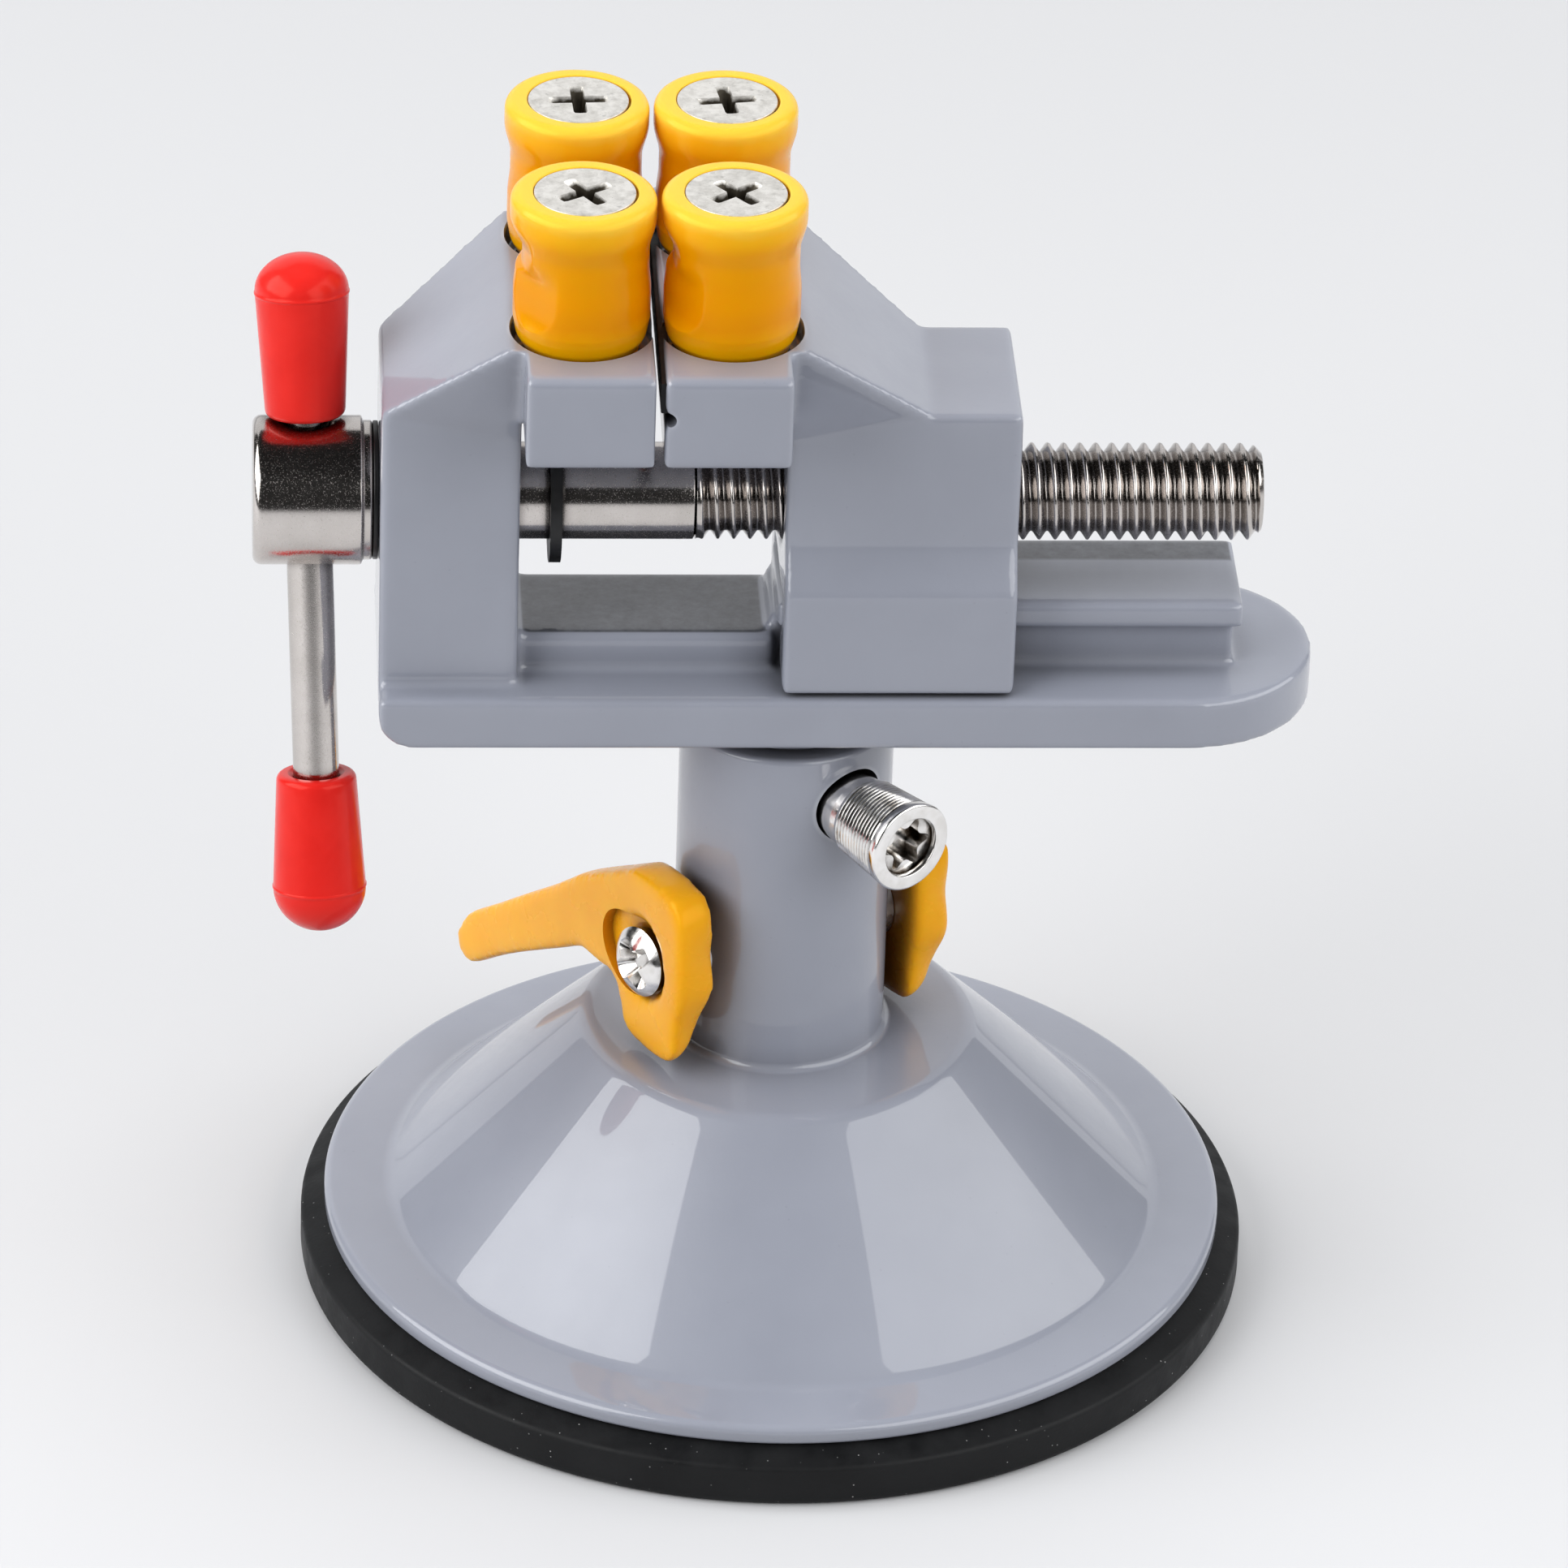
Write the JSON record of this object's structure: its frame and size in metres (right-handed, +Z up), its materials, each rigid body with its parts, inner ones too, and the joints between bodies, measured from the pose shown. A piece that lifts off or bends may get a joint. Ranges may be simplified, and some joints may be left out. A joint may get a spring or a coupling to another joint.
{
  "type": "suction base vise",
  "caption": "Small bench vise on a suction base: the head swivels, a screw slides one jaw on a rail, levers lift the pad, and posts on the jaws clamp odd shapes.",
  "frame": {"origin": "middle of the rubber pad's underside, on the table, below the column's axis", "axes": "+X along the lead screw from its handle towards the moving jaw, +Z up the column, -Y towards the user"},
  "size_m": [0.1096, 0.1, 0.1313],
  "materials": {
    "rubber": "matt moulded black rubber",
    "grey_paint": "semi-gloss light grey paint over a casting",
    "steel": "plain machined steel",
    "orange_plastic": "glossy orange moulded plastic",
    "yellow_plastic": "glossy, slightly translucent yellow moulded plastic",
    "red_vinyl": "soft glossy red dipped vinyl",
    "chrome": "bright chrome plate",
    "nickel": "nickel plate with fine specks",
    "zinc": "pale zinc plate",
    "black_steel": "blackened spring steel"
  },
  "bodies": {
    "base": {"base_casting": "grey_paint", "rubber_pad": "rubber"},
    "stem": {"pull_stem": "steel", "lift_disc": "steel", "pad_boss": "rubber"},
    "levers": {"cam_axle": "steel", "lever_left": "orange_plastic", "lever_right": "orange_plastic", "lever_screws": "chrome"},
    "clamp_screw": {"set_screw": "chrome"},
    "head": {"vise_base": "grey_paint", "swivel_spigot": "steel", "post_screws_fixed": "zinc"},
    "jaw": {"moving_jaw": "grey_paint", "post_screws_moving": "zinc"},
    "screw": {"lead_screw": "nickel", "retaining_clip": "black_steel", "thrust_washer": "black_steel"},
    "handle": {"handle_bar": "nickel", "grip_top": "red_vinyl", "grip_bottom": "red_vinyl"},
    "post_a": {"post_fixed_front": "yellow_plastic"},
    "post_b": {"post_fixed_rear": "yellow_plastic"},
    "post_c": {"post_moving_front": "yellow_plastic"},
    "post_d": {"post_moving_rear": "yellow_plastic"}
  },
  "joints": [
    {"name": "head_swivel", "type": "hinge", "parent": "base", "child": "head", "pos_m": [0, 0, 0.068], "axis": [0, 0, 1], "continuous": true},
    {"name": "jaw_slide", "type": "slide", "parent": "head", "child": "jaw", "axis": [1, 0, 0], "range_m": [-0.0003, 0.026]},
    {"name": "screw_spin", "type": "hinge", "parent": "head", "child": "screw", "pos_m": [0, 0, 0.0917], "axis": [1, 0, 0], "continuous": true},
    {"name": "handle_slide", "type": "slide", "parent": "screw", "child": "handle", "axis": [-0.0332, 0.2248, 0.9738], "range_m": [0, 0.0223]},
    {"name": "lever_turn", "type": "hinge", "parent": "base", "child": "levers", "pos_m": [0, 0, 0.04], "axis": [0.8949, 0.4462, 0], "range_deg": [0, 55]},
    {"name": "stem_lift", "type": "slide", "parent": "base", "child": "stem", "axis": [0, 0, 1], "range_m": [-0.00081, 0]},
    {"name": "clamp_turn", "type": "hinge", "parent": "base", "child": "clamp_screw", "pos_m": [0, 0, 0.0596], "axis": [0.5736, -0.8192, 0], "continuous": true},
    {"name": "post_a_turn", "type": "hinge", "parent": "head", "child": "post_a", "pos_m": [-0.0227, -0.0101, 0.12], "axis": [0, 0, 1], "continuous": true},
    {"name": "post_b_turn", "type": "hinge", "parent": "head", "child": "post_b", "pos_m": [-0.0227, 0.0101, 0.12], "axis": [0, 0, 1], "continuous": true},
    {"name": "post_c_turn", "type": "hinge", "parent": "jaw", "child": "post_c", "pos_m": [-0.0076, -0.0101, 0.12], "axis": [0, 0, 1], "continuous": true},
    {"name": "post_d_turn", "type": "hinge", "parent": "jaw", "child": "post_d", "pos_m": [-0.0076, 0.0101, 0.12], "axis": [0, 0, 1], "continuous": true}
  ],
  "couplings": [
    {"joint": "screw_spin", "follows": "jaw_slide", "rad_per_m": -3808},
    {"joint": "lever_turn", "follows": "stem_lift", "rad_per_m": -1185}
  ]
}
